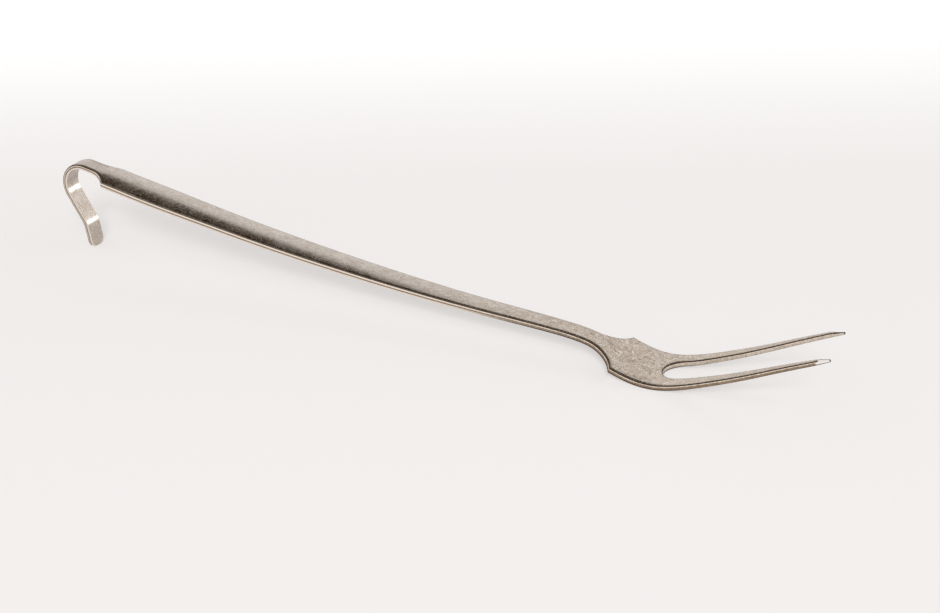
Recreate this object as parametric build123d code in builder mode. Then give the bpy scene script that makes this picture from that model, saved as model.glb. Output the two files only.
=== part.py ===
from build123d import *
import os
from math import radians, sin, sqrt

# A two-tined serving and turning fork with a hanging hook, pressed from one
# blank of stainless sheet. Every node below is one forming zone of that blank:
# the bent hook, the arched handle, the flat neck, the head round the slot, and
# the two tines. Neighbouring zones meet face to face.
#
# Frame: +X runs from the hook to the tines, +Y to the fork's left, +Z up. The
# fork lies as on a table, on the end of its hook and on the heel of its head,
# and is the same on both sides of the plane Y = 0. Millimetres throughout.

# ---- Sheet -----------------------------------------------------------------
SHEET = 2.2              # thickness of the hook, handle, neck and head
TINE_TIP_SHEET = 1.75    # thickness left at the tine tips

# ---- Side view: upper face along the middle, as (x, z) -----------------------
HOOK_JOINT = (-149.0, 37.45)
NECK_JOINT = (64.0, 11.0)
HANDLE_CROWN = [
    HOOK_JOINT,
    (-122.0, 32.6),
    (-91.0, 27.2),
    (-60.0, 22.4),
    (-29.0, 18.4),
    (2.0, 15.1),
    (33.0, 12.8),
    NECK_JOINT,
]
FRONT_CROWN = [
    (75.0, 9.5),
    (84.0, 6.6),
    (93.0, 3.45),
    (101.5, 2.2),
    (110.5, 3.7),
    (122.0, 7.9),
    (134.0, 13.1),
    (149.5, 20.6),
    (164.3, 27.55),
]
HANDLE_SLOPE = -0.185    # rise over run where the handle enters the hook
TIP_SLOPE = 0.46         # rise over run at the tine tips

# ---- Hook --------------------------------------------------------------------
HOOK_HALF_WIDTH = 3.8
HOOK_BEND_RADIUS = 10.4  # outside radius of the main bend
HOOK_LIP_RADIUS = 4.0    # inside radius of the small outward bend at the end
HOOK_CORNER = (-175.2, 42.3)   # where the lines of handle and leg would cross
HOOK_LIP = (-156.45, 10.6)     # where the lines of leg and end cross
HOOK_END_X = -154.9            # outer face of the hook's end on the table
HOOK_END_ROUND = 3.0           # rounded corners of the strip's end

# ---- Plan view, half widths --------------------------------------------------
SHOULDER_X = -140.7      # corner where the handle reaches its full width
SHOULDER_HALF_WIDTH = 8.0
SHOULDER_OVERRUN = 0.4   # how far the shoulder's arc runs on past the handle's side
# Arched handle sections: x, half width, angle of the sheet at its lip
HANDLE_SECTIONS = [
    (-122.0, 8.1, 22.5),
    (-91.0, 7.5, 20.0),
    (-60.0, 7.0, 18.0),
    (-29.0, 6.4, 15.0),
    (2.0, 5.7, 11.0),
    (33.0, 4.9, 6.5),
]
ARCH_START = (-139.0, SHOULDER_HALF_WIDTH, 23.0)
NECK_HALF_WIDTH = 4.25
FLARE_START_X = 75.0     # where the flare from neck to head begins
HEAD_CORNER_X = 87.3
HEAD_HALF_WIDTH = 12.9
TINE_ROOT_X = 110.4      # centre of the slot's round end
TINE_ROOT_HALF_WIDTH = 12.6
SLOT_RADIUS = 6.8
TIP_X = 164.3            # upper face at the very tip; the end is square to the sheet
TIP_OUTER = 11.8         # half width over the tine tips
TIP_INNER = 10.3         # half gap between the tine tips
GRIND_LENGTH = 4.8       # length of the ground facets at the tine tips
TIP_BLUNT = 0.8          # width left at the ground tip
TIP_DROP = 0.9           # height taken off the top at the very tip

TALL = 60.0              # taller and wider than anything on the fork
CROWN_STEPS = 12         # steps of the search for a place on the crown line


def crown_line():
    """Upper face of the sheet from the hook joint to the tips, seen from the side."""
    with BuildLine(Plane.XZ) as crown:
        Spline(
            *HANDLE_CROWN,
            *FRONT_CROWN,
            tangents=[(1, HANDLE_SLOPE), (1, TIP_SLOPE)],
        )
    return crown.edges()[0]


CROWN = crown_line()


def crown_at(x):
    """Place on the crown line at x, and the unit vector pointing out of the sheet."""
    step = TIP_X - HOOK_JOINT[0]
    position = 0.5
    for _ in range(CROWN_STEPS):
        position += (x - CROWN.position_at(position).X) / step
        position = min(max(position, 0.0), 1.0)
    tangent = CROWN.tangent_at(position)
    return CROWN.position_at(position), Vector(-tangent.Z, 0, tangent.X)


def sheet_at(x):
    """Thickness of the sheet: full up to the tine roots, then an even taper."""
    taper = max(0.0, (x - TINE_ROOT_X) / (TIP_X - TINE_ROOT_X))
    return SHEET + (TINE_TIP_SHEET - SHEET) * taper


def band_between(stations):
    """Side view of the sheet through the crown stations, as a face on the XZ plane."""
    upper = []
    lower = []
    for x in stations:
        place, out_of_sheet = crown_at(x)
        below = place - out_of_sheet * sheet_at(x)
        upper.append((place.X, place.Z))
        lower.append((below.X, below.Z))
    with BuildSketch(Plane.XZ) as band:
        with BuildLine():
            top = Spline(*upper)
            bottom = Spline(*lower)
            Line(top @ 0, bottom @ 0)
            Line(top @ 1, bottom @ 1)
        make_face()
    return band.sketch


def arch_section(x, half_width, lip_angle):
    """Cross-section of the handle: the sheet arched across its width, its sides cut upright."""
    place, out_of_sheet = crown_at(x)
    across = SHEET / out_of_sheet.Z
    outer = half_width / sin(radians(lip_angle))
    inner = outer - across
    top_edge = sqrt(outer**2 - half_width**2) - outer
    bottom_edge = sqrt(inner**2 - half_width**2) - outer
    with BuildSketch(Plane(origin=place, x_dir=(0, 1, 0), z_dir=(1, 0, 0))) as section:
        with BuildLine():
            top = ThreePointArc((-half_width, top_edge), (0, 0), (half_width, top_edge))
            bottom = ThreePointArc((-half_width, bottom_edge), (0, -across), (half_width, bottom_edge))
            Line(top @ 0, bottom @ 0)
            Line(top @ 1, bottom @ 1)
        make_face()
    return section.sketch


def flat_section(x, half_width):
    """Cross-section of the sheet where it isn't arched."""
    place, out_of_sheet = crown_at(x)
    across = SHEET / out_of_sheet.Z
    with BuildSketch(Plane(origin=place, x_dir=(0, 1, 0), z_dir=(1, 0, 0))) as section:
        Rectangle(2 * half_width, across, align=(Align.CENTER, Align.MAX))
    return section.sketch


# ---- Hanging hook ------------------------------------------------------------
with BuildPart() as hanging_hook:
    with BuildSketch(Plane.XZ):
        with BuildLine():
            outer_face = FilletPolyline(
                HOOK_JOINT,
                HOOK_CORNER,
                HOOK_LIP,
                (HOOK_END_X, 0),
                radius=(HOOK_BEND_RADIUS, HOOK_LIP_RADIUS),
            )
            offset(outer_face, amount=SHEET, side=Side.LEFT)
        make_face()
    extrude(amount=HOOK_HALF_WIDTH, both=True)
    strip_end = hanging_hook.faces().sort_by(Axis.Z)[0]
    end_corners = strip_end.edges().filter_by(Axis.Y, reverse=True)
    fillet(end_corners, radius=HOOK_END_ROUND)
hanging_hook.part.label = "hanging_hook"

# ---- Handle ------------------------------------------------------------------
# The strip flattens out of the arch between the arch's start and the hook.
with BuildPart() as handle:
    add(flat_section(HOOK_JOINT[0], SHOULDER_HALF_WIDTH))
    add(arch_section(*ARCH_START))
    loft(ruled=True)
    add(arch_section(*ARCH_START))
    for station in HANDLE_SECTIONS:
        add(arch_section(*station))
    add(flat_section(NECK_JOINT[0], NECK_HALF_WIDTH))
    loft()
    # Shoulder: the strip widens to the handle along a concave arc on each side.
    with BuildSketch(Plane.XY):
        with BuildLine():
            shoulder = TangentArc(
                (HOOK_JOINT[0], HOOK_HALF_WIDTH),
                (SHOULDER_X, SHOULDER_HALF_WIDTH + SHOULDER_OVERRUN),
                tangent=(1, 0),
            )
            Polyline(shoulder @ 0, (HOOK_JOINT[0], TALL), (SHOULDER_X, TALL), shoulder @ 1)
        make_face()
        mirror(about=Plane.XZ)
    extrude(amount=TALL, mode=Mode.SUBTRACT)
handle.part.label = "handle"

# ---- Neck, head and tines are cut from one pressed band ------------------------
FRONT_BAND = band_between([NECK_JOINT[0]] + [x for x, z in FRONT_CROWN])

with BuildPart() as neck:
    extrude(FRONT_BAND, amount=TALL, both=True)
    with BuildSketch(Plane.XY):
        with BuildLine():
            neck_flare = TangentArc(
                (FLARE_START_X, NECK_HALF_WIDTH),
                (HEAD_CORNER_X, HEAD_HALF_WIDTH),
                tangent=(1, 0),
            )
            Polyline(
                neck_flare @ 1,
                (HEAD_CORNER_X, 0),
                (NECK_JOINT[0], 0),
                (NECK_JOINT[0], NECK_HALF_WIDTH),
                neck_flare @ 0,
            )
        make_face()
        mirror(about=Plane.XZ)
    extrude(amount=TALL, mode=Mode.INTERSECT)
neck.part.label = "neck"

with BuildPart() as head:
    extrude(FRONT_BAND, amount=TALL, both=True)
    with BuildSketch(Plane.XY):
        with BuildLine():
            Polyline(
                (HEAD_CORNER_X, 0),
                (HEAD_CORNER_X, HEAD_HALF_WIDTH),
                (TINE_ROOT_X, TINE_ROOT_HALF_WIDTH),
                (TINE_ROOT_X, 0),
                close=True,
            )
        make_face()
        mirror(about=Plane.XZ)
        with Locations((TINE_ROOT_X, 0)):
            Circle(SLOT_RADIUS, mode=Mode.SUBTRACT)
    extrude(amount=TALL, mode=Mode.INTERSECT)
head.part.label = "head"


def make_tine(side, name):
    """One tine, tapered to a ground point; side is +1 for the left, -1 for the right."""
    grind_x = TIP_X - GRIND_LENGTH
    grind_share = (grind_x - TINE_ROOT_X) / (TIP_X - TINE_ROOT_X)
    grind_y = TINE_ROOT_HALF_WIDTH + (TIP_OUTER - TINE_ROOT_HALF_WIDTH) * grind_share
    outline = [
        (TINE_ROOT_X, SLOT_RADIUS),
        (TINE_ROOT_X, TINE_ROOT_HALF_WIDTH),
        (grind_x, grind_y),
        (TIP_X, TIP_INNER + TIP_BLUNT),
        (TIP_X + SHEET, TIP_INNER + TIP_BLUNT),
        (TIP_X + SHEET, TIP_INNER),
        (TIP_X, TIP_INNER),
    ]
    grind, _ = crown_at(grind_x)
    tip, out_of_sheet = crown_at(TIP_X)
    tip_low = tip - out_of_sheet * TIP_DROP
    with BuildPart() as tine:
        extrude(FRONT_BAND, amount=TALL, both=True)
        with BuildSketch(Plane.XY):
            with BuildLine():
                Polyline(*[(x, side * y) for x, y in outline], close=True)
            make_face()
        extrude(amount=TALL, mode=Mode.INTERSECT)
        # Facet ground across the top of the tip.
        with BuildSketch(Plane.XZ):
            with BuildLine():
                Polyline(
                    (grind.X, grind.Z),
                    (tip_low.X, tip_low.Z),
                    (tip_low.X + SHEET, tip_low.Z),
                    (grind.X, TALL),
                    close=True,
                )
            make_face()
        extrude(amount=TALL, both=True, mode=Mode.SUBTRACT)
    tine.part.label = name
    return tine


left_tine = make_tine(1, "left_tine")
right_tine = make_tine(-1, "right_tine")

# ---- Files -------------------------------------------------------------------
os.makedirs("parts", exist_ok=True)
export_step(hanging_hook.part, "parts/hanging_hook.step")
export_step(handle.part, "parts/handle.step")
export_step(neck.part, "parts/neck.step")
export_step(head.part, "parts/head.step")
export_step(left_tine.part, "parts/left_tine.step")
export_step(right_tine.part, "parts/right_tine.step")
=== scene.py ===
from math import atan2, cos, pi, radians, sin, tan

import bpy
import numpy as np
from bpy.props import FloatProperty, FloatVectorProperty, IntProperty, PointerProperty
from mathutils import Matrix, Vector


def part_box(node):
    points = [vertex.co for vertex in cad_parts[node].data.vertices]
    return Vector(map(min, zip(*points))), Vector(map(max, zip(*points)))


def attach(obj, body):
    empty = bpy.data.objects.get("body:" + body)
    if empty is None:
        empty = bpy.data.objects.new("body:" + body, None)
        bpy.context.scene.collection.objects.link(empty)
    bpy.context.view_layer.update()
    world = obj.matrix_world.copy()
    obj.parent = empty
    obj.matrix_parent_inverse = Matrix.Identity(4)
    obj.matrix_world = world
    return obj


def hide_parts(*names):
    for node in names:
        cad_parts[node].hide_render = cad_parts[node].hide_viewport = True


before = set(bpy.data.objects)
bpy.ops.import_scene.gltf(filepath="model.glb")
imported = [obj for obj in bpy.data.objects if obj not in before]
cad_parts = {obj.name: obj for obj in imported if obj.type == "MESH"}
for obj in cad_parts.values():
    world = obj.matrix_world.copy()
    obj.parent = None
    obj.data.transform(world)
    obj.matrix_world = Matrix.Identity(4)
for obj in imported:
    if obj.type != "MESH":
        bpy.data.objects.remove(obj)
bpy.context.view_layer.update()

bl_info = {
    "name": "Hanging serving fork",
    "version": (1, 0, 0),
    "blender": (4, 5, 0),
    "location": "View3D > Sidebar > Fork",
    "description": "Builds a pressed steel serving fork with a hanging hook from its flat blank",
    "category": "Object",
}

MM = 0.001

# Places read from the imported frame, in metres.
HOOK_JOINT_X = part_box("handle")[0].x
NECK_JOINT_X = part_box("neck")[0].x
HEAD_CORNER_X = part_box("head")[0].x
HEAD_HALF_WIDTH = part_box("head")[1].y
TINE_ROOT_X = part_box("left_tine")[0].x
STRIP_HALF_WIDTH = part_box("hanging_hook")[1].y

# Side view of the fork's upper face from the hook to the tips, as (x, z).
CROWN = [
    (-149.0, 37.45),
    (-122.0, 32.6),
    (-91.0, 27.2),
    (-60.0, 22.4),
    (-29.0, 18.4),
    (2.0, 15.1),
    (33.0, 12.8),
    (64.0, 11.0),
    (75.0, 9.5),
    (84.0, 6.6),
    (93.0, 3.45),
    (101.5, 2.2),
    (110.5, 3.7),
    (122.0, 7.9),
    (134.0, 13.1),
    (149.5, 20.6),
    (164.3, 27.55),
]
HANDLE_SLOPE = -0.185
TIP_SLOPE = 0.46

# Outer face of the hook from its end on the table to the handle, as (x, z).
HOOK_LINE = [(-154.9, 0.0), (-156.45, 10.6), (-175.2, 42.3), CROWN[0]]

# Along the handle, as (x, half width, lean): the lean is that of the arched sheet at its side, in degrees.
HANDLE_WIDTHS = [
    (-139.0, 8.0, 23.0),
    (-122.0, 8.1, 22.5),
    (-91.0, 7.5, 20.0),
    (-60.0, 7.0, 18.0),
    (-29.0, 6.4, 15.0),
    (2.0, 5.7, 11.0),
    (33.0, 4.9, 6.5),
    (64.0, 4.25, 0.0),
]


# ---------------------------------------------------------------- sizes and colours


def length(name, default, description):
    """A size in metres that a user may change."""
    return FloatProperty(name=name, default=default, description=description, unit="LENGTH", precision=5)


def colour(name, default, description):
    """A colour that a user may change."""
    return FloatVectorProperty(
        name=name, default=default, description=description, subtype="COLOR", size=3, min=0, max=1
    )


def share(name, default, description):
    """A number from 0 to 1 that a user may change."""
    return FloatProperty(name=name, default=default, description=description, min=0, max=1, subtype="FACTOR")


class SheetSizes(bpy.types.PropertyGroup):
    """The sheet that the fork is pressed from."""

    thickness: length("Thickness", 2.2 * MM, "Thickness of the sheet from the hook to the tine roots")
    tip_thickness: length("Tip thickness", 1.75 * MM, "Thickness left at the tine tips")
    edge_round: length("Edge round", 0.2 * MM, "Radius of the tumbled cut edges")
    roll_width: length("Roll-over width", 0.85 * MM, "Width of the face drawn down along each cut edge")
    roll_depth: length("Roll-over depth", 0.19 * MM, "How far the face is drawn down at the cut edge")
    row_pitch: length("Row pitch", 0.6 * MM, "Distance between the rows of the blank's mesh")
    columns: IntProperty(
        name="Columns", default=8, min=4, description="Columns of mesh from the middle to the edge"
    )


class HookSizes(bpy.types.PropertyGroup):
    """The strip that is bent over into the hanging hook."""

    bend_radius: length("Bend radius", 10.4 * MM, "Outside radius of the hook's main bend")
    lip_radius: length("Lip radius", 4.0 * MM, "Radius of the small bend that turns the end out")
    end_round: length("End round", 3.0 * MM, "Radius of the corners at the strip's end")
    shoulder_reach: length("Shoulder reach", 8.3 * MM, "Length over which the strip widens to the handle")
    corner_round: length("Corner round", 0.5 * MM, "Radius of the shoulder and head corners")


class HeadSizes(bpy.types.PropertyGroup):
    """The head, the slot and the tines."""

    flare_reach: length("Flare reach", 12.3 * MM, "Length of the concave flare from neck to head")
    slot_radius: length("Slot radius", 6.8 * MM, "Radius of the round end between the tines")
    root_half_width: length("Root half width", 12.6 * MM, "Half the width over the tine roots")
    tip_outer: length("Tip half width", 11.8 * MM, "Half the width over the tips before grinding")
    tip_inner: length("Tip half gap", 10.3 * MM, "Half the gap between the tips")
    grind_length: length("Grind length", 4.8 * MM, "Length of the ground facets")
    tip_blunt: length("Blunt tip", 0.8 * MM, "Width left at each ground tip")
    tip_drop: length("Tip drop", 0.9 * MM, "Depth ground off the top at each tip")


class FinishSettings(bpy.types.PropertyGroup):
    """The worn satin finish of the steel."""

    steel: colour("Steel", (0.64, 0.58, 0.53), "Colour of the satin handle")
    steel_front: colour("Steel at the head", (0.645, 0.54, 0.445), "Colour of the browner satin head")
    steel_dull: colour("Dull steel", (0.39, 0.325, 0.265), "Colour where the faces are dulled")
    # Real scratches, and the painted highlight along the lower corner of the hook's and handle's cut sides.
    scratch_and_highlight: colour("Scratch", (0.84, 0.78, 0.72), "Colour of a bright scratch")
    # Real grime in the deep marks and torn sides, and the painted shade along the rolled edges.
    soil_and_edge_shade: colour("Soil", (0.22, 0.16, 0.11), "Colour of grime in the deep marks")
    burnished: colour("Burnished edge", (0.92, 0.82, 0.71), "Colour of the smooth band on a cut edge")
    slot_edge: colour("Slot edge", (0.85, 0.76, 0.66), "Colour of the smooth band on the slot's edge")
    cut_edge: colour("Torn edge", (0.36, 0.27, 0.19), "Colour of the torn band on a cut edge")
    # Near-black painted shade along the creases of the cut edges and round the ground tips.
    crease_shade: colour("Crease", (0.02, 0.014, 0.01), "Colour of the dark line along the cut edges")
    ground: colour("Ground tip", (0.93, 0.91, 0.89), "Colour of the freshly ground tips")
    roughness: share("Roughness", 0.24, "Roughness of the satin faces")
    wear: share("Wear", 0.95, "Strength of the scratches")


class StudioSettings(bpy.types.PropertyGroup):
    """Floor, lights and camera."""

    floor: colour("Floor", (0.925, 0.90, 0.892), "Colour of the pale table")
    # Painted light: the table's far side is painted brighter, and part of the table's light is its own glow.
    floor_far_painted_light: colour("Far floor", (1.0, 1.0, 1.0), "Colour of the table's far side")
    floor_glow: share("Floor glow", 0.6, "Part of the table's light that comes from below")
    lens: FloatProperty(name="Lens", default=56.93, description="Focal length of the camera in mm")
    azimuth: FloatProperty(
        name="Azimuth", default=radians(25.6), subtype="ANGLE", description="Camera's turn round the fork"
    )
    elevation: FloatProperty(
        name="Elevation", default=radians(27.67), subtype="ANGLE", description="Camera's height angle"
    )
    place: FloatVectorProperty(
        name="Camera place",
        default=(0.24336, -0.45556, 0.27508),
        subtype="TRANSLATION",
        description="Where the camera stands",
    )


GROUPS = {
    "fork_sheet": SheetSizes,
    "fork_hook": HookSizes,
    "fork_head": HeadSizes,
    "fork_finish": FinishSettings,
    "fork_studio": StudioSettings,
}


# ---------------------------------------------------------------- side view


def spaced(count):
    """Evenly spaced numbers from 0 up to but not including 1."""
    return np.arange(count) / count


def straight(start, end, count):
    """Points on a straight run, without its last."""
    start, end = np.array(start, float), np.array(end, float)
    return start + (end - start) * spaced(count)[:, None]


def arc(centre, radius, first, last, count):
    """Points on an arc between two angles, without its last."""
    angles = first + (last - first) * spaced(count)
    return np.stack([centre[0] + radius * np.cos(angles), centre[1] + radius * np.sin(angles)], 1)


def rounded(before, corner, after, radius, count):
    """Points of the arc that rounds a corner, both ends included."""
    corner = np.array(corner, float)
    back = np.array(before) - corner
    ahead = np.array(after) - corner
    back /= np.linalg.norm(back)
    ahead /= np.linalg.norm(ahead)
    half_inside = 0.5 * np.arccos(np.clip(back @ ahead, -1, 1))
    first = corner + back * radius / tan(half_inside)
    last = corner + ahead * radius / tan(half_inside)
    middle = back + ahead
    centre = corner + middle / np.linalg.norm(middle) * radius / sin(half_inside)
    start = atan2(first[1] - centre[1], first[0] - centre[0])
    turn = atan2(last[1] - centre[1], last[0] - centre[0]) - start
    turn = (turn + pi) % (2 * pi) - pi
    return np.vstack([arc(centre, radius, start, start + turn, count), [last]])


def clamped_spline(knots, first_slope, last_slope, at):
    """Heights at the given places of the smooth curve through the knots."""
    x, z = np.array(knots, float).T
    gap = np.diff(x)
    rise = np.diff(z) / gap
    system = np.zeros((len(x), len(x)))
    right = np.zeros(len(x))
    system[0, 0] = system[-1, -1] = 1
    right[0], right[-1] = first_slope, last_slope
    for i in range(1, len(x) - 1):
        system[i, i - 1 : i + 2] = 1 / gap[i - 1], 2 / gap[i - 1] + 2 / gap[i], 1 / gap[i]
        right[i] = 3 * (rise[i - 1] / gap[i - 1] + rise[i] / gap[i])
    slope = np.linalg.solve(system, right)
    i = np.clip(np.searchsorted(x, at) - 1, 0, len(x) - 2)
    u = (at - x[i]) / gap[i]
    return (
        z[i] * (1 + 2 * u) * (1 - u) ** 2
        + z[i + 1] * u**2 * (3 - 2 * u)
        + gap[i] * (slope[i] * u * (1 - u) ** 2 - slope[i + 1] * u**2 * (1 - u))
    )


class SideView:
    """The fork's upper face seen from the side, measured by its length from the hook's end."""

    STEP = 0.25 * MM
    LIP_STEPS, BEND_STEPS = 24, 160

    def __init__(self, sheet, hook):
        line = np.array(HOOK_LINE) * MM
        # The line is the strip's outer face, so the lip's inside arc is on it.
        lip = rounded(line[0], line[1], line[2], hook.lip_radius, self.LIP_STEPS)
        bend = rounded(line[1], line[2], line[3], hook.bend_radius, self.BEND_STEPS)
        crown_x = np.arange(HOOK_JOINT_X, CROWN[-1][0] * MM, self.STEP)
        crown_x = np.append(crown_x, CROWN[-1][0] * MM)
        crown_z = clamped_spline(np.array(CROWN) * MM, HANDLE_SLOPE, TIP_SLOPE, crown_x)
        crown = np.stack([crown_x, crown_z], 1)
        path = np.vstack([line[:1], lip, bend, crown])
        reach = np.concatenate([[0], np.cumsum(np.linalg.norm(np.diff(path, axis=0), axis=1))])
        self.joint = reach[-len(crown)]
        self.end = reach[-1]
        self.crown_x, self.crown_reach = crown_x, reach[-len(crown) :]
        count = int(self.end / self.STEP) + 1
        even = np.linspace(0, self.end, count)
        self.points = np.stack([np.interp(even, reach, path[:, 0]), np.interp(even, reach, path[:, 1])], 1)

    def at(self, x):
        """Length along the sheet at a place on the handle, neck, head or tines."""
        return np.interp(x, self.crown_x, self.crown_reach)

    def place(self, reach):
        """Place along the fork at a length along the sheet, the hook counted at its joint."""
        return np.interp(reach, self.crown_reach, self.crown_x)


def former_curve(side):
    """The curve that the blank is pressed along."""
    data = bpy.data.curves.new("former", "CURVE")
    data.dimensions = "3D"
    spline = data.splines.new("POLY")
    spline.points.add(len(side.points) - 1)
    flat = np.zeros((len(side.points), 4))
    flat[:, 0], flat[:, 2], flat[:, 3] = side.points[:, 0], side.points[:, 1], 1
    spline.points.foreach_set("co", flat.ravel())
    former = bpy.data.objects.new("former", data)
    bpy.context.scene.collection.objects.link(former)
    return former


# ---------------------------------------------------------------- flat blank


def handle_width(x):
    """Half width of the handle in plan, and the angle its sheet leans at the lip."""
    stations, widths, leans = np.array(HANDLE_WIDTHS).T
    width = clamped_spline(np.stack([stations, widths], 1), 0.0, -0.02, x / MM) * MM
    lean = np.interp(x / MM, stations, leans)
    return width, np.radians(lean)


def smooth_step(low, high, value):
    """0 below low, 1 above high, and a smooth rise between."""
    u = np.clip((value - low) / (high - low), 0, 1)
    return u * u * (3 - 2 * u)


# Rows of mesh on the blank's short stretches, the rest being spaced by the row pitch.
END_ROWS, END_CORNER_ROWS = 4, 14
SHOULDER_ROWS, FLARE_ROWS, NOSE_STEPS = 22, 30, 5
HEAD_SIDE_ROWS, SLOT_ROWS, GRIND_STEPS = 18, 26, 14

LIP_PITCH = 1.4  # row pitches between rows of the long handle
HEAD_SIDE_SHARE = 0.42  # share of the head's side that lies before the slot
KNEE = 0.04 * MM  # half the length over which the ground facets begin


class Blank:
    """The flat outline of one half, as matching points along its outer and inner sides.

    Points are (length along the sheet, distance from the middle). Before the slot the inner
    side is the middle line; from the slot on it is the edge of the slot. marks holds the row
    at which each zone of the fork begins, and the last row.
    """

    def __init__(self, side, sheet, hook, head):
        self.outer, self.inner, self.marks = [], [], {}
        self.at = side.at
        self.pitch = sheet.row_pitch
        self.hook(side, hook, sheet.edge_round)
        self.handle(side, hook)
        self.neck_and_head(hook, head)
        self.tine(side, head)
        self.outer = np.vstack(self.outer)
        self.inner = np.vstack(self.inner)
        self.marks["end"] = len(self.outer) - 1

    def mark(self, name):
        """Note that a zone begins at the next row."""
        self.marks[name] = sum(len(piece) for piece in self.outer)

    def bay(self, outer, inner):
        """Add matching stretches of the two sides."""
        self.outer.append(np.array(outer, float))
        self.inner.append(np.array(inner, float))

    def count(self, start, end):
        """Rows for a stretch of that length."""
        return max(2, round(abs(end - start) / self.pitch))

    def hook(self, side, hook, edge_round):
        """Rounded end of the strip, then the strip up to the handle."""
        wide, turn = STRIP_HALF_WIDTH, hook.end_round
        end = np.vstack(
            [
                straight((0, 0), (0, wide - turn), END_ROWS),
                arc((turn, wide - turn), turn, pi, pi / 2, END_CORNER_ROWS),
            ]
        )
        first, last = 4 * edge_round, 1.4 * turn
        self.mark("hanging_hook")
        self.bay(end, straight((first, 0), (last, 0), len(end)))
        rows = self.count(0, side.joint)
        self.bay(straight((turn, wide), (side.joint, wide), rows), straight((last, 0), (side.joint, 0), rows))

    def handle(self, side, hook):
        """Concave shoulder, rounded corner, then the long arched handle."""
        self.mark("handle")
        start_x = HOOK_JOINT_X
        corner_x = start_x + hook.shoulder_reach
        corner = np.array([corner_x, handle_width(corner_x)[0]])
        shoulder, leave = flare((start_x, STRIP_HALF_WIDTH), corner, SHOULDER_ROWS)
        nose = rounded(corner - leave, corner, corner + (1, 0), hook.corner_round, NOSE_STEPS)
        plan = np.vstack([shoulder[shoulder[:, 0] < nose[0, 0]], nose])
        lip_x = np.arange(nose[-1, 0] + self.pitch, NECK_JOINT_X - self.pitch / 2, LIP_PITCH * self.pitch)
        lip = np.stack([lip_x, handle_width(lip_x)[0]], 1)
        inner_end = nose[-1, 0] + self.pitch
        self.bay(self.developed(plan), self.middle(start_x, inner_end, len(plan)))
        self.bay(self.developed(lip), self.middle(inner_end, NECK_JOINT_X, len(lip)))

    def neck_and_head(self, hook, head):
        """Concave flare, rounded head corner, then the head up to the slot's round end."""
        self.mark("neck")
        narrow = handle_width(NECK_JOINT_X)[0]
        flare_x = HEAD_CORNER_X - head.flare_reach
        corner = np.array([HEAD_CORNER_X, HEAD_HALF_WIDTH])
        root = np.array([TINE_ROOT_X, head.root_half_width])
        slot_start = TINE_ROOT_X - head.slot_radius
        stem = straight((NECK_JOINT_X, narrow), (flare_x, narrow), self.count(NECK_JOINT_X, flare_x))
        curve, leave = flare((flare_x, narrow), corner, FLARE_ROWS)
        nose = rounded(corner - leave, corner, root, hook.corner_round, NOSE_STEPS)
        curve = curve[curve[:, 0] < nose[0, 0]]
        side_end = corner + HEAD_SIDE_SHARE * (root - corner)
        lead = np.vstack([stem, curve])
        self.bay(self.flat(lead), self.middle(NECK_JOINT_X, HEAD_CORNER_X, len(lead)))
        self.mark("head")
        rest = straight(nose[-1], side_end, HEAD_SIDE_ROWS)
        plan = np.vstack([nose[:-1], rest])
        self.bay(self.flat(plan), self.middle(HEAD_CORNER_X, slot_start, len(plan)))
        self.mark("slot")
        slot = arc((TINE_ROOT_X, 0), head.slot_radius, pi, pi / 2, SLOT_ROWS)
        self.bay(self.flat(straight(side_end, root, len(slot))), self.flat(slot))

    def tine(self, side, head):
        """The tapering tine and the ground stretch at its tip."""
        self.mark("tine")
        tip_x = side.crown_x[-1]
        grind_x = tip_x - head.grind_length
        reach = (grind_x - TINE_ROOT_X) / (tip_x - TINE_ROOT_X)
        outer_root, inner_root = head.root_half_width, head.slot_radius
        outer_grind = outer_root + (head.tip_outer - outer_root) * reach
        inner_grind = inner_root + (head.tip_inner - inner_root) * reach
        rows = self.count(TINE_ROOT_X, grind_x)
        self.bay(
            self.flat(straight((TINE_ROOT_X, outer_root), (grind_x, outer_grind), rows)),
            self.flat(straight((TINE_ROOT_X, inner_root), (grind_x, inner_grind), rows)),
        )
        knee = KNEE / head.grind_length
        places = np.concatenate([[-knee, 0, knee], np.linspace(0, 1, GRIND_STEPS)[1:]])[:, None]
        outer_run = np.array([tip_x, head.tip_inner + head.tip_blunt]) - (grind_x, outer_grind)
        inner_run = np.array([tip_x, head.tip_inner]) - (grind_x, inner_grind)
        outer = np.array([grind_x, outer_grind]) + outer_run * places
        outer[0, 1] = outer_grind
        self.bay(self.flat(outer), self.flat(np.array([grind_x, inner_grind]) + inner_run * places))

    def middle(self, start_x, end_x, rows):
        """The middle line between two places along the fork, as points on the blank."""
        return straight((self.at(start_x), 0), (self.at(end_x), 0), rows)

    def flat(self, plan):
        """Plan points (x, y) on an unarched stretch, as points on the blank."""
        return np.stack([self.at(plan[:, 0]), plan[:, 1]], 1)

    def developed(self, plan):
        """Plan points on the arched handle, as points on the blank."""
        radius = arch_radius(plan[:, 0])
        return np.stack([self.at(plan[:, 0]), radius * np.arcsin(plan[:, 1] / radius)], 1)


def flare(start, corner, count):
    """Concave arc that leaves start along the fork and widens to corner; also its last direction."""
    run, rise = corner[0] - start[0], corner[1] - start[1]
    turn = 2 * atan2(rise, run)
    radius = run / sin(turn)
    points = arc((start[0], start[1] + radius), radius, -pi / 2, -pi / 2 + turn, count)
    return points, np.array([cos(turn), sin(turn)]) * MM


FLAT_RADIUS = 2.0  # an arch of this radius, in metres, counts as flat


def arch_radius(x):
    """Radius of the arch across the handle's upper face at a place along it."""
    width, lean = handle_width(x)
    arched = smooth_step(HOOK_JOINT_X, HANDLE_WIDTHS[0][0] * MM, x)
    return 1 / np.maximum(np.sin(lean) / width * arched, 1 / FLAT_RADIUS)


# ---------------------------------------------------------------- mesh of the sheet

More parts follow.
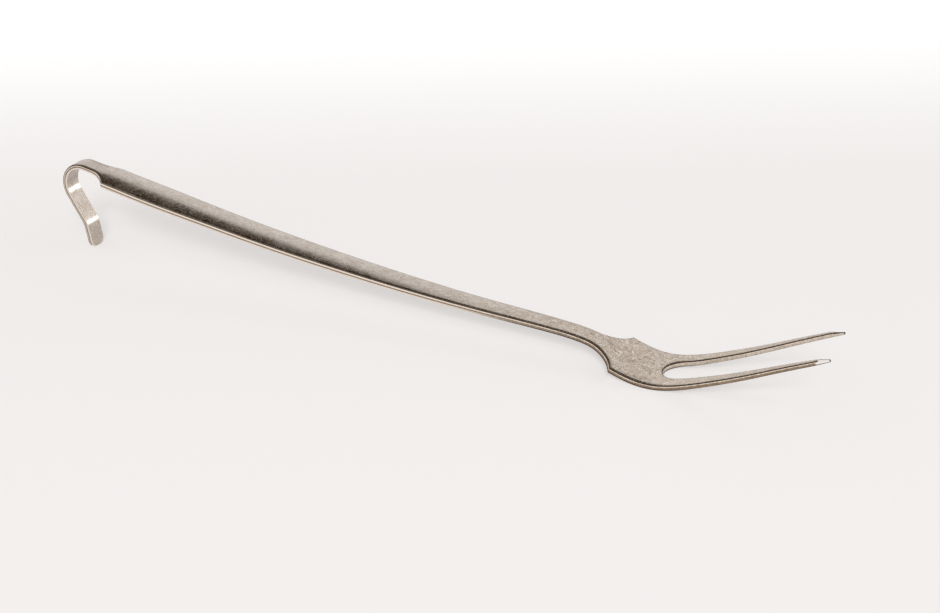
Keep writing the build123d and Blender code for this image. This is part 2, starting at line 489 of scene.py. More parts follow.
CORNER_STEPS = 4  # steps round a tumbled edge
ROLL_STEPS = 5  # columns of mesh over a rolled edge
WIDEST_ROLL = 0.3  # largest share of the half width that a rolled edge takes
BESIDE_ROUND = 0.05 * MM  # a row this far down the wall keeps the edge's shading narrow
ON_MIDDLE = 1e-9  # a point this near the middle line is on it


def outward(line, side):
    """Unit vectors pointing out of the sheet along one side of the blank."""
    ahead = np.gradient(line, axis=0)
    ahead[0], ahead[-1] = line[1] - line[0], line[-1] - line[-2]
    ahead /= np.linalg.norm(ahead, axis=1)[:, None]
    return side * np.stack([-ahead[:, 1], ahead[:, 0]], 1)


def edge_profile(edge_round, thickness):
    """Inset and depth of the points down a cut edge, from the upper face to the lower."""
    steps = np.arange(1, CORNER_STEPS) * (pi / 2) / CORNER_STEPS
    inset = [edge_round * (1 - sin(a)) for a in steps]
    depth = [edge_round * (1 - cos(a)) for a in steps]
    wall = [edge_round, edge_round + BESIDE_ROUND]
    inset += [0.0] * 2 * len(wall) + inset[::-1]
    depth += wall + [thickness - d for d in wall[::-1]] + [thickness - d for d in depth[::-1]]
    return np.array(inset), np.array(depth)


class SheetMesh:
    """Rows of points round the sheet of one half: upper face, outer edge, lower face, slot edge."""

    def __init__(self, blank, sheet, head, side):
        self.blank, self.sheet = blank, sheet
        reach = blank.inner[:, 0]
        taper = share_of(reach, side.at(TINE_ROOT_X), side.end)
        self.thickness = sheet.thickness + (sheet.tip_thickness - sheet.thickness) * taper
        self.ground = share_of(reach, side.at(side.crown_x[-1] - head.grind_length), side.end)
        self.top = self.ground * head.tip_drop
        self.edge_top = self.top + sheet.roll_depth * (1 - self.ground)
        self.slotted = np.arange(len(reach)) >= blank.marks["slot"]
        self.out_outer, self.out_inner = outward(blank.outer, 1), outward(blank.inner, -1)
        rings, clear = zip(*(self.ring(row) for row in range(len(reach))))
        self.points, self.clear = np.array(rings), np.array(clear)
        self.face = self.clear.shape[1]
        self.chain = self.points.shape[1] // 2 - self.face
        self.upright(side)
        self.number()
        self.survey()

    def ring(self, row):
        """Points round the sheet at one row, and how far in mm its upper ones are from a cut edge."""
        blank, sheet = self.blank, self.sheet
        outer, inner = blank.outer[row], blank.inner[row]
        out_outer, out_inner = self.out_outer[row], self.out_inner[row]
        face_outer = outer - out_outer * sheet.edge_round
        face_inner = inner - out_inner * sheet.edge_round * self.slotted[row]
        width = np.linalg.norm(face_outer - face_inner)
        shares = column_shares(sheet.columns, min(sheet.roll_width / width, WIDEST_ROLL))
        across = face_inner + (face_outer - face_inner) * shares[:, None]
        slot_line = blank.inner[blank.marks["slot"] :]
        clear = np.minimum(distance(across, blank.outer), distance(across, slot_line)) - sheet.edge_round
        roll = np.clip(1 - clear / sheet.roll_width, 0, 1) ** 2 * sheet.roll_depth
        roll[-1] = sheet.roll_depth
        roll[0] = sheet.roll_depth if self.slotted[row] else roll[0]
        inset, depth = edge_profile(sheet.edge_round, self.thickness[row] - self.edge_top[row])
        depth += self.edge_top[row]
        ring = [
            np.column_stack([across, self.top[row] + roll * (1 - self.ground[row])]),
            np.column_stack([outer - out_outer * inset[:, None], depth]),
            np.column_stack([across[::-1], np.full(len(across), self.thickness[row])]),
            np.column_stack([inner - out_inner * inset[::-1, None], depth[::-1]]),
        ]
        return np.vstack(ring), clear / MM

    def upright(self, side):
        """Shift the points below the upper face so that the arched sheet's sides are cut upright."""
        length, across, depth = np.moveaxis(self.points, 2, 0)
        radius = arch_radius(side.place(length))
        turn = np.arcsin(np.sin(across / radius) * radius / (radius - depth))
        self.points[:, :, 1] = turn * radius

    def number(self):
        """Give every point of both halves its number; points on the middle line are shared."""
        rows, around, _ = self.points.shape
        slot_row = self.blank.marks["slot"]
        used = np.ones((rows, around), bool)
        used[:slot_row, 2 * self.face + self.chain :] = False
        middle = np.abs(self.points[:, :, 1]) < ON_MIDDLE
        self.index = {1: np.full((rows, around), -1), -1: np.full((rows, around), -1)}
        flat = self.points[used]
        self.index[1][used] = np.arange(len(flat))
        mirrored = used & ~middle
        self.index[-1][used] = self.index[1][used]
        self.index[-1][mirrored] = len(flat) + np.arange(mirrored.sum())
        other = self.points[mirrored] * (1, -1, 1)
        self.co = np.vstack([flat, other]) * (1, 1, -1)
        self.used, self.mirrored = used, mirrored

    def survey(self):
        """What the finish needs to know of every point: its side, depth and distance from an edge."""
        rows, around, _ = self.points.shape
        slot_row = self.blank.marks["slot"]
        first_slot = 2 * self.face + self.chain
        outer, slot, outer_rim, slot_rim, ground, end = np.zeros((6, rows, around))
        outer[:, self.face : self.face + self.chain] = 1
        slot[slot_row:, first_slot:] = 1
        outer_rim[:, self.face - 1 : self.face + self.chain + 1] = 1
        slot_rim[slot_row:, first_slot - 1 :] = 1
        slot_rim[slot_row:, 0] = 1
        ground[:, : self.face + self.chain] = self.ground[:, None]
        end[-1] = 1
        clear = np.full((rows, around), self.clear.max())
        clear[:, : self.face] = self.clear
        across = np.zeros((rows, around))
        across[:, : self.face] = np.linspace(0, 1, self.face)
        across[:, self.face :] = 1
        below = self.points[:, :, 2] - self.edge_top[:, None]
        marks = {
            "outer_edge": outer,
            "slot_edge": slot,
            "outer_rim": outer_rim,
            "slot_rim": slot_rim,
            "sheet_depth": np.maximum(below / (self.thickness - self.edge_top)[:, None], 0),
            "tip_side": across,
            "edge_clear": clear,
            "ground_tip": ground,
            "tip_end": end,
        }
        self.surface = {
            name: np.concatenate([values[self.used], values[self.mirrored]]).astype(np.float32)
            for name, values in marks.items()
        }

    def faces(self, first, last, half):
        """Quads of one half between two rows, the caps left open."""
        index = self.index[half]
        quads = []
        slot_row = self.blank.marks["slot"]
        around = self.points.shape[1]
        for row in range(first, last):
            steps = around if row >= slot_row else 2 * self.face + self.chain - 1
            for j in range(steps):
                k = (j + 1) % around
                quad = [index[row, j], index[row, k], index[row + 1, k], index[row + 1, j]]
                quads.append(clean(quad, half == 1))
        return [quad for quad in quads if len(quad) > 2]

    def slot_end(self):
        """Faces that join the two halves where the slot begins."""
        row = self.blank.marks["slot"]
        ring = [*range(2 * self.face + self.chain - 1, self.points.shape[1]), 0]
        left, right = (
            [index[row - 1, ring[0]], *index[row, ring], index[row - 1, 0]]
            for index in (self.index[1], self.index[-1])
        )
        quads = zip(left, left[1:], right[1:], right)
        return [quad for quad in (clean(quad, False) for quad in quads) if len(quad) > 2]

    def cap(self, row, half, at_start):
        """Faces that close the sheet across one row."""
        index = self.index[half][row]
        last = 2 * self.face + self.chain - 1
        polygons = [
            [index[j], index[j + 1], index[last - j - 1], index[last - j]] for j in range(self.face - 1)
        ]
        polygons.append([index[j] for j in range(self.face - 1, self.face + self.chain + 1)])
        if row >= self.blank.marks["slot"]:
            polygons.append([index[j] for j in range(last, len(index))] + [index[0]])
        return [clean(polygon, (half == 1) != at_start) for polygon in polygons]


def share_of(reach, start, end):
    """0 up to start, 1 at end, in proportion between."""
    return np.clip((reach - start) / (end - start), 0, 1)


def clean(polygon, reverse):
    """The polygon without repeated points, turned over if asked."""
    kept = [p for i, p in enumerate(polygon) if p != polygon[i - 1]]
    return [int(p) for p in (kept[::-1] if reverse else kept)]


def column_shares(columns, rolled):
    """Shares of the width at the columns of mesh, close together where the edges roll over."""
    close = rolled * np.linspace(0, 1, ROLL_STEPS)[:-1]
    return np.concatenate([close, np.linspace(rolled, 1 - rolled, columns + 1), 1 - close[::-1]])


def distance(points, line):
    """Distance from each point to the nearest place on a line of points."""
    start, run = line[:-1], np.diff(line, axis=0)
    offset = points[:, None] - start
    share = np.clip((offset * run).sum(2) / (run * run).sum(1), 0, 1)
    return np.linalg.norm(offset - run * share[:, :, None], axis=2).min(1)


# ---------------------------------------------------------------- node maths


class Socket:
    """A node's output that can be used in Python expressions; each operation adds a Math node."""

    def __init__(self, nodes, socket):
        self.nodes, self.socket = nodes, socket

    def math(self, operation, *others):
        """A Math node on this value and others."""
        return self.nodes.add("ShaderNodeMath", {"operation": operation}, [self, *others])

    def __add__(self, other):
        return self.math("ADD", other)

    def __sub__(self, other):
        return self.math("SUBTRACT", other)

    def __mul__(self, other):
        return self.math("MULTIPLY", other)

    def __truediv__(self, other):
        return self.math("DIVIDE", other)

    def __radd__(self, other):
        return self.nodes.add("ShaderNodeMath", {"operation": "ADD"}, [other, self])

    def __rsub__(self, other):
        return self.nodes.add("ShaderNodeMath", {"operation": "SUBTRACT"}, [other, self])

    def __rmul__(self, other):
        return self.nodes.add("ShaderNodeMath", {"operation": "MULTIPLY"}, [other, self])

    def __neg__(self):
        return self.math("MULTIPLY", -1.0)

    def other(self, output):
        """Another output of the same node."""
        return Socket(self.nodes, self.socket.node.outputs[output])

    def held(self):
        """This value kept between 0 and 1."""
        return self.nodes.add("ShaderNodeClamp", {}, [self, 0.0, 1.0])

    def between(self, low, high):
        """0 at low, 1 at high, smooth between."""
        return self.nodes.add(
            "ShaderNodeMapRange", {"interpolation_type": "SMOOTHSTEP"}, {0: self, 1: low, 2: high}
        )


class Nodes:
    """Adds nodes to a tree."""

    def __init__(self, tree):
        self.tree = tree

    def add(self, kind, settings=None, inputs=None, output=0):
        """A node with its settings made first, then its inputs; gives one of its outputs."""
        node = self.tree.nodes.new(kind)
        for name, value in (settings or {}).items():
            setattr(node, name, value)
        pairs = inputs.items() if isinstance(inputs, dict) else enumerate(inputs or [])
        for key, value in pairs:
            if isinstance(value, Socket):
                self.tree.links.new(value.socket, node.inputs[key])
            elif value is not None:
                node.inputs[key].default_value = value
        return Socket(self, node.outputs[output]) if len(node.outputs) else None


# ---------------------------------------------------------------- pressing


def press_tree(material):
    """Geometry nodes that press a flat blank to its side view and arch.

    The blank lies with its length along X, its width along Y and its depth along -Z. Each
    point goes to the former's place at that length, and is bent across by its arch radius.
    """
    tree = bpy.data.node_groups.new("press_blank", "GeometryNodeTree")
    face = tree.interface
    face.new_socket("Blank", in_out="INPUT", socket_type="NodeSocketGeometry")
    face.new_socket("Former", in_out="INPUT", socket_type="NodeSocketObject")
    flat = face.new_socket("Flat radius", in_out="INPUT", socket_type="NodeSocketFloat")
    flat.default_value = FLAT_RADIUS
    face.new_socket("Pressed", in_out="OUTPUT", socket_type="NodeSocketGeometry")
    nodes = Nodes(tree)
    blank = nodes.add("NodeGroupInput")
    former, flat_radius = blank.other(1), blank.other(2)
    place = nodes.add("GeometryNodeInputPosition")
    along = nodes.add("ShaderNodeSeparateXYZ", {}, [place])
    across, height = along.other(1), along.other(2)
    bend = nodes.add("GeometryNodeInputNamedAttribute", {"data_type": "FLOAT"}, {"Name": "arch_radius"})
    radius = bend.math("MINIMUM", flat_radius)
    curve = nodes.add(
        "GeometryNodeObjectInfo", {"transform_space": "ORIGINAL"}, {"Object": former}, "Geometry"
    )
    sample = nodes.add(
        "GeometryNodeSampleCurve", {"mode": "LENGTH"}, {"Curves": curve, "Length": along}, "Position"
    )
    ahead_x = nodes.add("ShaderNodeSeparateXYZ", {}, [sample.other("Tangent")])
    ahead_z = ahead_x.other(2)
    angle = across / radius
    half = (angle * 0.5).math("SINE")
    lower = radius + height
    sideways = lower * angle.math("SINE")
    rise = height - lower * 2.0 * half * half
    shift = nodes.add("ShaderNodeCombineXYZ", {}, [-ahead_z * rise, sideways, ahead_x * rise])
    target = nodes.add("ShaderNodeVectorMath", {"operation": "ADD"}, [sample, shift])
    pressed = nodes.add("GeometryNodeSetPosition", {}, {"Geometry": blank, "Position": target})
    smooth = nodes.add("GeometryNodeSetShadeSmooth", {}, {"Geometry": pressed})
    real = nodes.add("GeometryNodeRealizeInstances", {}, {"Geometry": smooth})
    coated = nodes.add("GeometryNodeSetMaterial", {}, {"Geometry": real, "Material": material})
    nodes.add("NodeGroupOutput", {}, [coated])
    return tree


def set_input(modifier, name, value):
    """Set a modifier's input by its socket's identifier."""
    for item in modifier.node_group.interface.items_tree:
        if item.in_out == "INPUT" and item.name == name:
            modifier[item.identifier] = value
            return
    raise ValueError(f"the tree has no input {name}")


def press(blank_object, former, material):
    """The blank pressed to shape, as a plain mesh."""
    modifier = blank_object.modifiers.new("press", "NODES")
    modifier.node_group = press_tree(material)
    set_input(modifier, "Former", former)
    bpy.context.view_layer.update()
    ready = blank_object.evaluated_get(bpy.context.evaluated_depsgraph_get())
    return bpy.data.meshes.new_from_object(ready)


PRESSED = {}


class FORK_OT_press_sheet(bpy.types.Operator):
    """Cut the fork's blank and press the whole sheet to shape"""

    bl_idname = "fork.press_sheet"
    bl_label = "Press the sheet"

    def execute(self, context):
        scene = context.scene
        side = SideView(scene.fork_sheet, scene.fork_hook)
        blank = Blank(side, scene.fork_sheet, scene.fork_hook, scene.fork_head)
        sheet = SheetMesh(blank, scene.fork_sheet, scene.fork_head, side)
        last = blank.marks["end"]
        skin = sheet.faces(0, last, 1) + sheet.faces(0, last, -1) + sheet.slot_end()
        data = bpy.data.meshes.new("blank")
        data.from_pydata([tuple(p) for p in sheet.co], [], skin)
        x = np.interp(sheet.co[:, 0], side.crown_reach, side.crown_x)
        radius = data.attributes.new("arch_radius", "FLOAT", "POINT")
        radius.data.foreach_set("value", arch_radius(x).astype(np.float32))
        blank_object = bpy.data.objects.new("blank", data)
        scene.collection.objects.link(blank_object)
        former = former_curve(side)
        mesh = press(blank_object, former, steel_finish(scene.fork_finish))
        count = len(mesh.vertices)
        places, normals = np.zeros(count * 3, np.float32), np.zeros(count * 3, np.float32)
        mesh.vertices.foreach_get("co", places)
        mesh.vertex_normals.foreach_get("vector", normals)
        PRESSED.update(sheet=sheet, material=mesh.materials[0])
        PRESSED.update(places=places.reshape(-1, 3), normals=normals.reshape(-1, 3))
        bpy.data.objects.remove(blank_object)
        bpy.data.objects.remove(former)
        bpy.data.meshes.remove(mesh)
        return {"FINISHED"}


def cut_piece(name, start, end, halves=(1, -1)):
    """One zone of the pressed sheet, between two of its marks, as its own closed piece."""
    if not PRESSED:
        raise RuntimeError("press the sheet first")
    sheet = PRESSED["sheet"]
    marks = sheet.blank.marks
    first, last = marks[start], marks[end]
    skin, caps = [], []
    for half in halves:
        skin += sheet.faces(first, last, half)
        if first > 0:
            caps += sheet.cap(first, half, True)
        caps += sheet.cap(last, half, False)
    if first < marks["slot"] < last:
        skin += sheet.slot_end()
    used = sorted({p for polygon in skin + caps for p in polygon})
    number = {p: i for i, p in enumerate(used)}
    data = bpy.data.meshes.new(name)
    polygons = [[number[p] for p in polygon] for polygon in skin + caps]
    data.from_pydata([tuple(p) for p in PRESSED["places"][used]], [], polygons)
    data.polygons.foreach_set("use_smooth", [True] * len(skin) + [False] * len(caps))
    for attribute, values in sheet.surface.items():
        data.attributes.new(attribute, "FLOAT", "POINT").data.foreach_set("value", values[used])
    corners = np.zeros(len(data.loops), np.int32)
    data.loops.foreach_get("vertex_index", corners)
    normals = PRESSED["normals"][used][corners]
    skin_corners = sum(len(polygon) for polygon in skin)
    normals[skin_corners:] = 0
    data.normals_split_custom_set([tuple(n) for n in normals])
    data.materials.append(PRESSED["material"])
    piece = bpy.data.objects.new(f"{name}_steel", data)
    bpy.context.scene.collection.objects.link(piece)
    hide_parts(name)
    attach(piece, "root")
    return piece


class FORK_OT_hanging_hook(bpy.types.Operator):
    """Make the bent hook at the handle's end"""

    bl_idname = "fork.hanging_hook"
    bl_label = "Hanging hook"

    def execute(self, context):
        cut_piece("hanging_hook", "hanging_hook", "handle")
        return {"FINISHED"}


class FORK_OT_handle(bpy.types.Operator):
    """Make the long arched handle"""

    bl_idname = "fork.handle"
    bl_label = "Handle"

    def execute(self, context):
        cut_piece("handle", "handle", "neck")
        return {"FINISHED"}


class FORK_OT_neck(bpy.types.Operator):
    """Make the flat neck that flares to the head"""

    bl_idname = "fork.neck"
    bl_label = "Neck"

    def execute(self, context):
        cut_piece("neck", "neck", "head")
        return {"FINISHED"}


class FORK_OT_head(bpy.types.Operator):
    """Make the head round the slot's end"""

    bl_idname = "fork.head"
    bl_label = "Head"

    def execute(self, context):
        cut_piece("head", "head", "tine")
        return {"FINISHED"}


class FORK_OT_tines(bpy.types.Operator):
    """Make the two tapering tines with their ground tips"""

    bl_idname = "fork.tines"
    bl_label = "Tines"

    def execute(self, context):
        cut_piece("left_tine", "tine", "end", halves=(1,))
        cut_piece("right_tine", "tine", "end", halves=(-1,))
        return {"FINISHED"}


# ---------------------------------------------------------------- finish of the steel


# Where along the fork the finish changes, in metres.
FRONT_FADE = (-0.01, 0.085)
TINE_FADE = (0.10, 0.125)
HOOK_FADE = (-0.150, -0.143)

BUMP_STRENGTH = 0.25
BUMP_HEIGHT = 0.015 * MM


class SteelSurface:
    """The worn steel as colours, roughness and relief, from what is known of each point."""

    def __init__(self, nodes, finish):
        self.nodes, self.finish = nodes, finish
        place = nodes.add("ShaderNodeTexCoord", {}, {}, "Object")
        self.mm = nodes.add("ShaderNodeVectorMath", {"operation": "SCALE"}, {0: place, "Scale": 1 / MM})
        self.place_on_fork(nodes.add("ShaderNodeSeparateXYZ", {}, [place], 0))
        self.wear_and_tear()

    def surveyed(self, name):
        """A value that the sheet's survey gave every point."""
        return self.nodes.add("ShaderNodeAttribute", {"attribute_name": name}, {}, "Fac")

    def noise(self, scale, detail):
        """Cloudy noise with so many cells per millimetre."""
        return noise(self.nodes, self.mm, scale, detail)

    def place_on_fork(self, along):
        """Which part of the fork, and which side of the sheet, a point is on."""
        self.outer, self.slot = self.surveyed("outer_edge"), self.surveyed("slot_edge")
        self.edge = (self.outer + self.slot).held()
        self.depth = self.surveyed("sheet_depth")
        self.front = along.between(*FRONT_FADE)
        self.tines = along.between(*TINE_FADE)
        self.hook = 1.0 - along.between(*HOOK_FADE)
        run = self.surveyed("ground_tip") - (self.depth - 0.5).math("ABSOLUTE") * 0.5
        self.ground = run.between(0.0, 0.05)

    def wear_and_tear(self):
        """The stains, specks, streaks and scratches, fainter on the hook and the tines."""
        nodes, mm = self.nodes, self.mm
        self.fine = 1.0 - (self.hook + self.tines) * 0.55
        self.stain = self.noise(0.16, 5.0).between(0.36, 0.64)
        self.speckle = self.noise(1.9, 4.0).between(0.34, 0.66)
        self.streak = stretched(nodes, mm, 0.8, 3.0).between(0.3, 0.7)
        self.tear = self.noise(1.5, 4.0).between(0.40, 0.60)
        swirl = [cloud(nodes, mm, 0.22), (0.5,) * 3]
        swirl = nodes.add("ShaderNodeVectorMath", {"operation": "SUBTRACT"}, swirl)
        bent = nodes.add("ShaderNodeVectorMath", {"operation": "MULTIPLY_ADD"}, [swirl, (9.0,) * 3, mm])
        self.light_marks = scratches(nodes, bent, (0.3, 1.5, 2.6), 0.59)
        self.dark_marks = scratches(nodes, bent, (0.9, 2.1, 3.3), 0.60)

    def mixed(self, first, second, amount):
        """A colour between two."""
        return mixed(self.nodes, first, second, amount)

    def face(self):
        """Colour of the satin faces, dulled in patches, scratched, browner at the head, and darkened towards
        the cut edges as painted shade.
        """
        finish, front = self.finish, self.front
        bright = self.mixed(finish.steel, finish.steel_front, front)
        pitted = (self.speckle - 0.5) * (front * 0.4 + 0.14) + (self.streak - 0.5) * (0.42 - front * 0.2)
        pitted = 0.5 + pitted * self.fine + (self.stain - 0.5) * 0.32
        dull = self.mixed(finish.steel_dull, bright, pitted.held())
        wear = self.fine * finish.wear
        lit = self.mixed(dull, finish.scratch_and_highlight, (self.light_marks * wear * (front * 0.35 + 0.35)).held())
        marked = self.mixed(lit, finish.soil_and_edge_shade, (self.dark_marks * wear * (front * 0.35 + 0.25)).held())
        # Painted shade: the faces darken towards the cut edges, where they roll over.
        clear = self.surveyed("edge_clear") * (1.0 + self.tines)
        rolled_edge_shade = (1.0 - clear.between(0.1, 1.4)) * (0.55 - front * 0.25)
        return self.mixed(marked, finish.soil_and_edge_shade, rolled_edge_shade)

    def cut_side(self):
        """Colour of the sheared sides: a burnished band above, a torn brown band below it, and on the hook
        and handle a painted highlight along the lower corner.
        """
        finish, front = self.finish, self.front
        ragged = self.depth + (self.noise(0.9, 3.0) - 0.5) * 0.3 * front
        below = 1.0 - ragged.between(0.60, 0.70) * (1.0 - front)
        torn = ragged.between(0.30, 0.42) * below * (1.0 - self.slot * 0.75)
        smooth = self.mixed(finish.burnished, finish.slot_edge, self.slot)
        stained = (self.tear * front * 0.45 + self.hook * 0.2).held()
        burnished = self.mixed(smooth, finish.cut_edge, stained)
        broken = self.mixed(finish.cut_edge, finish.soil_and_edge_shade, (self.tear * 0.75).held())
        side = self.mixed(burnished, broken, torn)
        # Painted highlight: a pale line along the lower part of the cut sides on the hook and handle.
        lip = self.depth.between(0.64, 0.74) * (1.0 - self.depth.between(0.95, 0.99)) * (1.0 - front)
        return self.mixed(side, finish.scratch_and_highlight, lip * 0.8)

    def painted_dark_lines(self):
        """1 on the painted shade lines along the creases of the edges and round the ground tips, 0 elsewhere.
        """
        front, depth = self.front, self.depth
        rim = self.surveyed("outer_rim") * (1.0 - self.ground) + self.surveyed("slot_rim")
        upper = rim * (1.0 - (depth - (front + self.hook) * 0.12).between(0.01, 0.11))
        under = front.between(0.2, 0.7) * (1.0 - self.tines * 0.7) * 0.85 + 0.05
        lower = self.edge * depth.between(0.62, 0.80) * under
        outline = self.ground * (1.0 - self.surveyed("tip_side").between(0.4, 0.65))
        tip_under = self.ground * self.outer * depth.between(0.68, 0.82)
        lines = upper.held()
        for line in (lower, outline, tip_under, self.surveyed("tip_end")):
            lines = lines.math("MAXIMUM", line)
        return lines

    def roughness(self, dark):
        """Rougher on the cut sides, in the marks and on the painted shade lines, smoother where it is ground.
        """
        rough = self.finish.roughness + (self.stain - 0.5) * 0.05 + (self.speckle - 0.5) * 0.05
        return (rough + self.light_marks * 0.06 + self.edge * 0.12 + dark * 0.5 - self.ground * 0.08).held()

    def relief(self):
        """Height of the grain, the scratches and the torn sides."""
        marks = self.light_marks * 0.6 + self.dark_marks * 0.5
        grain = self.noise(3.4, 2.0) * 0.35 + self.streak * 0.2
        return (grain - marks) * self.fine + self.tear * self.edge * 0.8


def steel_finish(finish):
    """Worn satin stainless steel: scratched every way on its faces, sheared on its cut sides."""
    material = bpy.data.materials.new("satin_steel")
    material.use_nodes = True
    tree = material.node_tree
    tree.nodes.clear()
    nodes = Nodes(tree)
    steel = SteelSurface(nodes, finish)
    # Painted shade: near-black lines along the edge creases and round the ground tips, dull and not metallic.
    dark = steel.painted_dark_lines()
    base = mixed(nodes, steel.face(), steel.cut_side(), steel.edge)
    base = mixed(nodes, base, finish.ground, steel.ground)
    base = mixed(nodes, base, finish.crease_shade, dark)
    bump = {"Strength": BUMP_STRENGTH, "Distance": BUMP_HEIGHT, "Height": steel.relief()}
    surface = {
        "Base Color": base,
        "Metallic": 1.0 - dark,
        "Roughness": steel.roughness(dark),
        "Normal": nodes.add("ShaderNodeBump", {}, bump),
        "Specular IOR Level": 0.0,
    }
    shader = nodes.add("ShaderNodeBsdfPrincipled", {}, surface)
    nodes.add("ShaderNodeOutputMaterial", {}, {"Surface": shader})
    return material


def mixed(nodes, first, second, amount):
    """A colour between two, each a colour or a node's output."""
    ends = [end if isinstance(end, Socket) else (*end, 1.0) for end in (first, second)]
    return nodes.add("ShaderNodeMix", {"data_type": "RGBA"}, {0: amount, 6: ends[0], 7: ends[1]}, 2)


def noise(nodes, mm, scale, detail):
    """Cloudy noise with so many cells per millimetre."""
    return nodes.add("ShaderNodeTexNoise", {}, {"Vector": mm, "Scale": scale, "Detail": detail})


def cloud(nodes, mm, scale):
    """Soft noise with three values, for pushing places about."""
    return nodes.add("ShaderNodeTexNoise", {}, {"Vector": mm, "Scale": scale, "Detail": 1.0}, 1)


def stretched(nodes, mm, scale, detail):
    """Noise drawn out along the fork, as a press tool drags the metal."""
    long = nodes.add("ShaderNodeMapping", {}, {"Vector": mm, "Scale": (0.5, 1.0, 2.2)})
    return noise(nodes, long, scale, detail)


def scratches(nodes, bent, turns, cut):
    """Fine curved scratches lying at each of the turns, 1 on a scratch and 0 between."""
    total = None
    for turn in turns:
        turned = nodes.add("ShaderNodeMapping", {}, {"Vector": bent, "Rotation": (0.0, 0.0, turn)})
        drawn = nodes.add("ShaderNodeMapping", {}, {"Vector": turned, "Scale": (0.2, 2.3, 0.4)})
        one = noise(nodes, drawn, 1.0, 1.0).between(cut, cut + 0.05)
        total = one if total is None else total.math("MAXIMUM", one)
    return total


# ---------------------------------------------------------------- studio


class FORK_OT_studio(bpy.types.Operator):
    """Set the pale table, the soft lights and the camera"""

    bl_idname = "fork.studio"
    bl_label = "Table, lights and camera"

    def execute(self, context):
        studio = context.scene.fork_studio
        table(studio)
        lights()
        camera(studio)
        context.scene.view_settings.view_transform = "Standard"
        return {"FINISHED"}


TABLE_REACH = 6.0
FAR_WAY = (-0.47, 0.88, 0.0)  # across the table, away from the camera
FAR_SIDE = (0.10, 0.42)  # where the table grows brighter, that way
NEAR_GLOW, FAR_GLOW = 0.805, 1.025


def table(studio):
    """A wide pale table that glows with painted light so that shadows stay faint, and is painted brighter
    towards its far side.
    """
    data = bpy.data.meshes.new("table_top")
    corners = [(x * TABLE_REACH, y * TABLE_REACH, 0) for x, y in ((-1, -1), (1, -1), (1, 1), (-1, 1))]
    data.from_pydata(corners, [], [[0, 1, 2, 3]])
    top = bpy.data.objects.new("table_top", data)
    bpy.context.scene.collection.objects.link(top)
    material = bpy.data.materials.new("lit_paper")
    material.use_nodes = True
    tree = material.node_tree
    tree.nodes.clear()
    nodes = Nodes(tree)
    place = nodes.add("ShaderNodeTexCoord", {}, {}, "Object")
    away = nodes.add("ShaderNodeVectorMath", {"operation": "DOT_PRODUCT"}, [place, FAR_WAY], 1)
    far = away.between(*FAR_SIDE)
    # Painted light: the table grows brighter towards its far side.
    paper_and_far_light = mixed(nodes, studio.floor, studio.floor_far_painted_light, far)
    near_glow = [value * NEAR_GLOW for value in studio.floor]
    far_glow = [value * FAR_GLOW for value in studio.floor_far_painted_light]
    matt = nodes.add("ShaderNodeBsdfDiffuse", {}, {"Color": paper_and_far_light})
    # Painted light: the table glows, so that the shadows on it stay faint.
    glow = nodes.add("ShaderNodeEmission", {}, {"Color": mixed(nodes, near_glow, far_glow, far)})
    surface = nodes.add("ShaderNodeMixShader", {}, [studio.floor_glow, matt, glow])
    nodes.add("ShaderNodeOutputMaterial", {}, {"Surface": surface})
    data.materials.append(material)


def toward(azimuth, elevation):
    """Unit vector at degrees turned from +X towards +Y and degrees up."""
    a, e = radians(azimuth), radians(elevation)
    return (cos(a) * cos(e), sin(a) * cos(e), sin(e))


def softbox(name, direction, far, width, height, power):
    """A rectangular soft light, so far from the hook and aimed at it."""
    data = bpy.data.lights.new(name, "AREA")
    data.shape = "RECTANGLE"
    data.size, data.size_y, data.energy = width, height, power
    light = bpy.data.objects.new(name, data)
    light.location = Vector((-0.16, 0.0, 0.02)) + Vector(direction) * far
    light.rotation_euler = Vector(direction).to_track_quat("Z", "Y").to_euler()
    bpy.context.scene.collection.objects.link(light)
    return light


def lights():
    """A pale room, dark overhead, with a low softbox to be reflected and a front one for shadows."""
    low_back = softbox("low_back", toward(45, 5), far=1.5, width=0.5, height=0.46, power=2.9)
    low_back.visible_diffuse = False
    front = softbox("front", toward(-60, 36), far=3.5, width=1.1, height=0.9, power=88.0)
    front.visible_glossy = False
    world = bpy.data.worlds.new("room")
    bpy.context.scene.world = world
    world.use_nodes = True
    tree = world.node_tree
    tree.nodes.clear()
    nodes = Nodes(tree)
    direction = nodes.add("ShaderNodeTexCoord", {}, {}, "Generated")
    height = nodes.add("ShaderNodeSeparateXYZ", {}, [direction], 2)
    ceiling = [direction, toward(104, 80)]
    nearness = nodes.add("ShaderNodeVectorMath", {"operation": "DOT_PRODUCT"}, ceiling, 1)
    shade = nearness.between(cos(radians(38)), cos(radians(34)))
    low = mixed(nodes, (0.58, 0.555, 0.53), (1.0, 0.99, 0.985), height.between(0.03, 0.13))
    walls = mixed(nodes, low, (1.5, 1.49, 1.48), height.between(0.55, 0.95))
    room = mixed(nodes, walls, (0.05, 0.032, 0.016), shade)
    glow = nodes.add("ShaderNodeBackground", {}, {"Color": room, "Strength": 1.0})
    nodes.add("ShaderNodeOutputWorld", {}, {"Surface": glow})


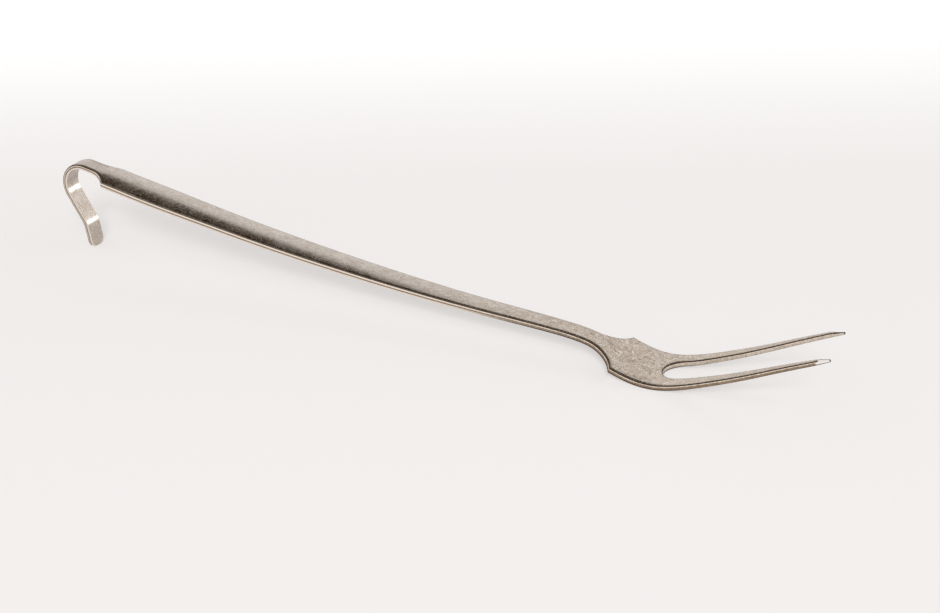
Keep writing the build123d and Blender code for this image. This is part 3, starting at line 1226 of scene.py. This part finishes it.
def camera(studio):
    """The camera, at the fork's side and above it."""
    data = bpy.data.cameras.new("camera")
    data.lens, data.sensor_width, data.sensor_fit = studio.lens, 36.0, "HORIZONTAL"
    data.clip_start, data.clip_end = 0.01, 20.0
    eye = bpy.data.objects.new("camera", data)
    turn, rise = studio.azimuth, studio.elevation
    back = Vector((sin(turn) * cos(rise), -cos(turn) * cos(rise), sin(rise)))
    eye.location = studio.place
    eye.rotation_euler = (-back).to_track_quat("-Z", "Y").to_euler()
    bpy.context.scene.collection.objects.link(eye)
    bpy.context.scene.camera = eye


# ---------------------------------------------------------------- panel and registration

OPERATORS = (
    FORK_OT_studio,
    FORK_OT_press_sheet,
    FORK_OT_hanging_hook,
    FORK_OT_handle,
    FORK_OT_neck,
    FORK_OT_head,
    FORK_OT_tines,
)


class FORK_PT_panel(bpy.types.Panel):
    """Lists the fork's sizes and the steps that make it"""

    bl_idname = "FORK_PT_panel"
    bl_label = "Hanging serving fork"
    bl_space_type = "VIEW_3D"
    bl_region_type = "UI"
    bl_category = "Fork"

    def draw(self, context):
        for name, group in GROUPS.items():
            box = self.layout.box()
            settings = getattr(context.scene, name)
            for key in group.__annotations__:
                box.prop(settings, key)
        for operator in OPERATORS:
            self.layout.operator(operator.bl_idname)


def register():
    for group in GROUPS.values():
        bpy.utils.register_class(group)
    for name, group in GROUPS.items():
        setattr(bpy.types.Scene, name, PointerProperty(type=group))
    for item in (*OPERATORS, FORK_PT_panel):
        bpy.utils.register_class(item)


def unregister():
    for item in (FORK_PT_panel, *reversed(OPERATORS)):
        bpy.utils.unregister_class(item)
    for name in GROUPS:
        delattr(bpy.types.Scene, name)
    for group in reversed(GROUPS.values()):
        bpy.utils.unregister_class(group)


def main():
    """Make the stage and every piece."""
    register()
    bpy.ops.fork.studio()
    bpy.ops.fork.press_sheet()
    bpy.ops.fork.hanging_hook()
    bpy.ops.fork.handle()
    bpy.ops.fork.neck()
    bpy.ops.fork.head()
    bpy.ops.fork.tines()


if __name__ == "__main__":
    main()
